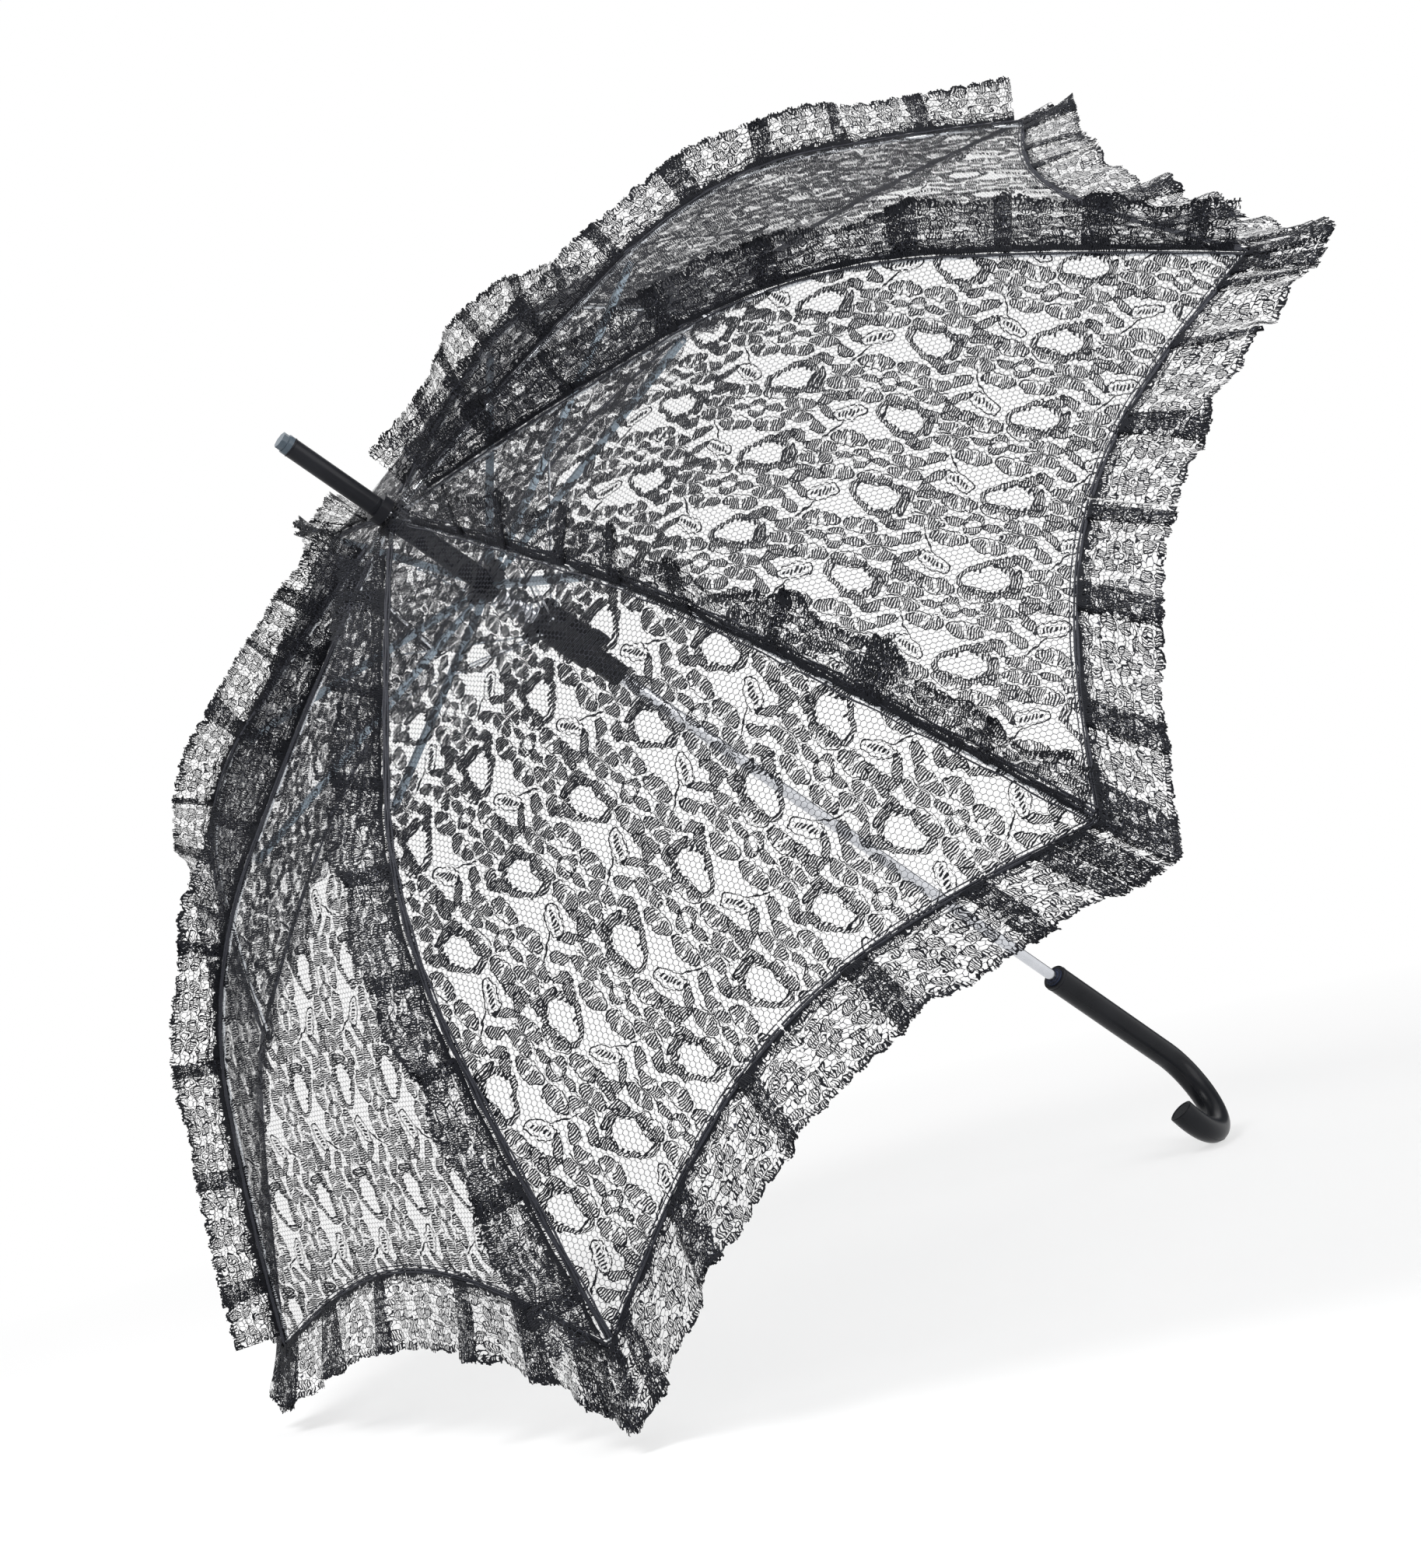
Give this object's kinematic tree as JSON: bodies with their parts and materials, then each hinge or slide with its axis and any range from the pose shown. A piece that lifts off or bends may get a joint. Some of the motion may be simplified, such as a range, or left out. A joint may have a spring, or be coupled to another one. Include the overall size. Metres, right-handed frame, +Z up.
{
  "type": "lace parasol",
  "caption": "Stick parasol with a J hook handle, a folding wire frame with sliding runner, and a domed see-through lace canopy edged with pleated ruffles.",
  "frame": {"origin": "middle of the grip, on the stick's axis", "axes": "+Z up the stick to the ferrule, +X along one rib; the canopy is open at rest"},
  "size_m": [1.0124, 1.0124, 0.845],
  "materials": {
    "chrome": "bright plated tube",
    "steel_wire": "bright drawn wire",
    "channel_steel": "blue-grey zinc plate",
    "spring_steel": "plated spring wire",
    "black_plastic": "moulded",
    "cap_plastic": "faceted end",
    "button_plastic": "moulded",
    "handle_plastic": "satin moulded",
    "collar_plastic": "moulded",
    "lace": "figured net lace",
    "ruffle_lace": "pleated scalloped lace edging"
  },
  "bodies": {
    "root": {"shaft": "chrome", "ferrule": "black_plastic", "ferrule_cap": "cap_plastic", "crown_washer": "black_plastic", "top_notch": "black_plastic", "notch_wire": "steel_wire", "handle": "handle_plastic", "handle_collar": "collar_plastic"},
    "upper_slider": {"upper_slider": "black_plastic", "spring": "spring_steel"},
    "runner": {"runner": "black_plastic"},
    "release_button": {"release_button": "button_plastic"},
    "rib_1": {"rib_1": "steel_wire", "tip_1": "black_plastic", "panel_1": "lace", "trim_1": "ruffle_lace"},
    "stretcher_1": {"stretcher_1": "channel_steel"},
    "tie_1": {"tie_1": "steel_wire"},
    "rib_2": {"rib_2": "steel_wire", "tip_2": "black_plastic", "panel_2": "lace", "trim_2": "ruffle_lace"},
    "stretcher_2": {"stretcher_2": "channel_steel"},
    "tie_2": {"tie_2": "steel_wire"},
    "rib_3": {"rib_3": "steel_wire", "tip_3": "black_plastic", "panel_3": "lace", "trim_3": "ruffle_lace"},
    "stretcher_3": {"stretcher_3": "channel_steel"},
    "tie_3": {"tie_3": "steel_wire"},
    "rib_4": {"rib_4": "steel_wire", "tip_4": "black_plastic", "panel_4": "lace", "trim_4": "ruffle_lace"},
    "stretcher_4": {"stretcher_4": "channel_steel"},
    "tie_4": {"tie_4": "steel_wire"},
    "rib_5": {"rib_5": "steel_wire", "tip_5": "black_plastic", "panel_5": "lace", "trim_5": "ruffle_lace"},
    "stretcher_5": {"stretcher_5": "channel_steel"},
    "tie_5": {"tie_5": "steel_wire"},
    "rib_6": {"rib_6": "steel_wire", "tip_6": "black_plastic", "panel_6": "lace", "trim_6": "ruffle_lace"},
    "stretcher_6": {"stretcher_6": "channel_steel"},
    "tie_6": {"tie_6": "steel_wire"},
    "rib_7": {"rib_7": "steel_wire", "tip_7": "black_plastic", "panel_7": "lace", "trim_7": "ruffle_lace"},
    "stretcher_7": {"stretcher_7": "channel_steel"},
    "tie_7": {"tie_7": "steel_wire"},
    "rib_8": {"rib_8": "steel_wire", "tip_8": "black_plastic", "panel_8": "lace", "trim_8": "ruffle_lace"},
    "stretcher_8": {"stretcher_8": "channel_steel"},
    "tie_8": {"tie_8": "steel_wire"}
  },
  "joints": [
    {"name": "runner_slide", "type": "slide", "parent": "root", "child": "runner", "axis": [0, 0, 1], "range_m": [-0.30151, 0], "stiffness_N_per_m": 40, "springref_m": 0.2},
    {"name": "upper_slider_slide", "type": "slide", "parent": "root", "child": "upper_slider", "axis": [0, 0, 1], "range_m": [-0.32828, 0], "deforming": ["spring"]},
    {"name": "button_press", "type": "slide", "parent": "runner", "child": "release_button", "axis": [-0.9483, 0.3173, 0], "range_m": [0, 0.002], "stiffness_N_per_m": 400},
    {"name": "rib_1_fold", "type": "hinge", "parent": "root", "child": "rib_1", "pos_m": [0.008, 0, 0.642], "axis": [0, 1, 0], "range_deg": [0, 62.76], "deforming": ["panel_1", "trim_1"]},
    {"name": "stretcher_1_turn", "type": "hinge", "parent": "rib_1", "child": "stretcher_1", "pos_m": [0.215, 0, 0.601], "axis": [0, 1, 0], "range_deg": [-129.44, 0]},
    {"name": "tie_1_turn", "type": "hinge", "parent": "stretcher_1", "child": "tie_1", "pos_m": [0.09362, 0, 0.58284], "axis": [0, 1, 0], "range_deg": [0, 23.69]},
    {"name": "rib_2_fold", "type": "hinge", "parent": "root", "child": "rib_2", "pos_m": [0.00566, 0.00566, 0.642], "axis": [-0.7071, 0.7071, 0], "range_deg": [0, 62.76], "deforming": ["panel_2", "trim_2"]},
    {"name": "stretcher_2_turn", "type": "hinge", "parent": "rib_2", "child": "stretcher_2", "pos_m": [0.15203, 0.15203, 0.601], "axis": [-0.7071, 0.7071, 0], "range_deg": [-129.44, 0]},
    {"name": "tie_2_turn", "type": "hinge", "parent": "stretcher_2", "child": "tie_2", "pos_m": [0.0662, 0.0662, 0.58284], "axis": [-0.7071, 0.7071, 0], "range_deg": [0, 23.69]},
    {"name": "rib_3_fold", "type": "hinge", "parent": "root", "child": "rib_3", "pos_m": [0, 0.008, 0.642], "axis": [-1, 0, 0], "range_deg": [0, 62.76], "deforming": ["panel_3", "trim_3"]},
    {"name": "stretcher_3_turn", "type": "hinge", "parent": "rib_3", "child": "stretcher_3", "pos_m": [0, 0.215, 0.601], "axis": [-1, 0, 0], "range_deg": [-129.44, 0]},
    {"name": "tie_3_turn", "type": "hinge", "parent": "stretcher_3", "child": "tie_3", "pos_m": [0, 0.09362, 0.58284], "axis": [-1, 0, 0], "range_deg": [0, 23.69]},
    {"name": "rib_4_fold", "type": "hinge", "parent": "root", "child": "rib_4", "pos_m": [-0.00566, 0.00566, 0.642], "axis": [-0.7071, -0.7071, 0], "range_deg": [0, 62.76], "deforming": ["panel_4", "trim_4"]},
    {"name": "stretcher_4_turn", "type": "hinge", "parent": "rib_4", "child": "stretcher_4", "pos_m": [-0.15203, 0.15203, 0.601], "axis": [-0.7071, -0.7071, 0], "range_deg": [-129.44, 0]},
    {"name": "tie_4_turn", "type": "hinge", "parent": "stretcher_4", "child": "tie_4", "pos_m": [-0.0662, 0.0662, 0.58284], "axis": [-0.7071, -0.7071, 0], "range_deg": [0, 23.69]},
    {"name": "rib_5_fold", "type": "hinge", "parent": "root", "child": "rib_5", "pos_m": [-0.008, 0, 0.642], "axis": [0, -1, 0], "range_deg": [0, 62.76], "deforming": ["panel_5", "trim_5"]},
    {"name": "stretcher_5_turn", "type": "hinge", "parent": "rib_5", "child": "stretcher_5", "pos_m": [-0.215, 0, 0.601], "axis": [0, -1, 0], "range_deg": [-129.44, 0]},
    {"name": "tie_5_turn", "type": "hinge", "parent": "stretcher_5", "child": "tie_5", "pos_m": [-0.09362, 0, 0.58284], "axis": [0, -1, 0], "range_deg": [0, 23.69]},
    {"name": "rib_6_fold", "type": "hinge", "parent": "root", "child": "rib_6", "pos_m": [-0.00566, -0.00566, 0.642], "axis": [0.7071, -0.7071, 0], "range_deg": [0, 62.76], "deforming": ["panel_6", "trim_6"]},
    {"name": "stretcher_6_turn", "type": "hinge", "parent": "rib_6", "child": "stretcher_6", "pos_m": [-0.15203, -0.15203, 0.601], "axis": [0.7071, -0.7071, 0], "range_deg": [-129.44, 0]},
    {"name": "tie_6_turn", "type": "hinge", "parent": "stretcher_6", "child": "tie_6", "pos_m": [-0.0662, -0.0662, 0.58284], "axis": [0.7071, -0.7071, 0], "range_deg": [0, 23.69]},
    {"name": "rib_7_fold", "type": "hinge", "parent": "root", "child": "rib_7", "pos_m": [0, -0.008, 0.642], "axis": [1, 0, 0], "range_deg": [0, 62.76], "deforming": ["panel_7", "trim_7"]},
    {"name": "stretcher_7_turn", "type": "hinge", "parent": "rib_7", "child": "stretcher_7", "pos_m": [0, -0.215, 0.601], "axis": [1, 0, 0], "range_deg": [-129.44, 0]},
    {"name": "tie_7_turn", "type": "hinge", "parent": "stretcher_7", "child": "tie_7", "pos_m": [0, -0.09362, 0.58284], "axis": [1, 0, 0], "range_deg": [0, 23.69]},
    {"name": "rib_8_fold", "type": "hinge", "parent": "root", "child": "rib_8", "pos_m": [0.00566, -0.00566, 0.642], "axis": [0.7071, 0.7071, 0], "range_deg": [0, 62.76], "deforming": ["panel_8", "trim_8"]},
    {"name": "stretcher_8_turn", "type": "hinge", "parent": "rib_8", "child": "stretcher_8", "pos_m": [0.15203, -0.15203, 0.601], "axis": [0.7071, 0.7071, 0], "range_deg": [-129.44, 0]},
    {"name": "tie_8_turn", "type": "hinge", "parent": "stretcher_8", "child": "tie_8", "pos_m": [0.0662, -0.0662, 0.58284], "axis": [0.7071, 0.7071, 0], "range_deg": [0, 23.69]}
  ],
  "couplings": [
    {"joint": "upper_slider_slide", "follows": "runner_slide", "ratio": 1.0871},
    {"joint": "rib_1_fold", "follows": "runner_slide", "rad_per_m": -3.6321},
    {"joint": "stretcher_1_turn", "follows": "runner_slide", "rad_per_m": 7.4915},
    {"joint": "tie_1_turn", "follows": "runner_slide", "rad_per_m": -1.3701},
    {"joint": "rib_2_fold", "follows": "runner_slide", "rad_per_m": -3.6321},
    {"joint": "stretcher_2_turn", "follows": "runner_slide", "rad_per_m": 7.4915},
    {"joint": "tie_2_turn", "follows": "runner_slide", "rad_per_m": -1.3701},
    {"joint": "rib_3_fold", "follows": "runner_slide", "rad_per_m": -3.6321},
    {"joint": "stretcher_3_turn", "follows": "runner_slide", "rad_per_m": 7.4915},
    {"joint": "tie_3_turn", "follows": "runner_slide", "rad_per_m": -1.3701},
    {"joint": "rib_4_fold", "follows": "runner_slide", "rad_per_m": -3.6321},
    {"joint": "stretcher_4_turn", "follows": "runner_slide", "rad_per_m": 7.4915},
    {"joint": "tie_4_turn", "follows": "runner_slide", "rad_per_m": -1.3701},
    {"joint": "rib_5_fold", "follows": "runner_slide", "rad_per_m": -3.6321},
    {"joint": "stretcher_5_turn", "follows": "runner_slide", "rad_per_m": 7.4915},
    {"joint": "tie_5_turn", "follows": "runner_slide", "rad_per_m": -1.3701},
    {"joint": "rib_6_fold", "follows": "runner_slide", "rad_per_m": -3.6321},
    {"joint": "stretcher_6_turn", "follows": "runner_slide", "rad_per_m": 7.4915},
    {"joint": "tie_6_turn", "follows": "runner_slide", "rad_per_m": -1.3701},
    {"joint": "rib_7_fold", "follows": "runner_slide", "rad_per_m": -3.6321},
    {"joint": "stretcher_7_turn", "follows": "runner_slide", "rad_per_m": 7.4915},
    {"joint": "tie_7_turn", "follows": "runner_slide", "rad_per_m": -1.3701},
    {"joint": "rib_8_fold", "follows": "runner_slide", "rad_per_m": -3.6321},
    {"joint": "stretcher_8_turn", "follows": "runner_slide", "rad_per_m": 7.4915},
    {"joint": "tie_8_turn", "follows": "runner_slide", "rad_per_m": -1.3701}
  ]
}
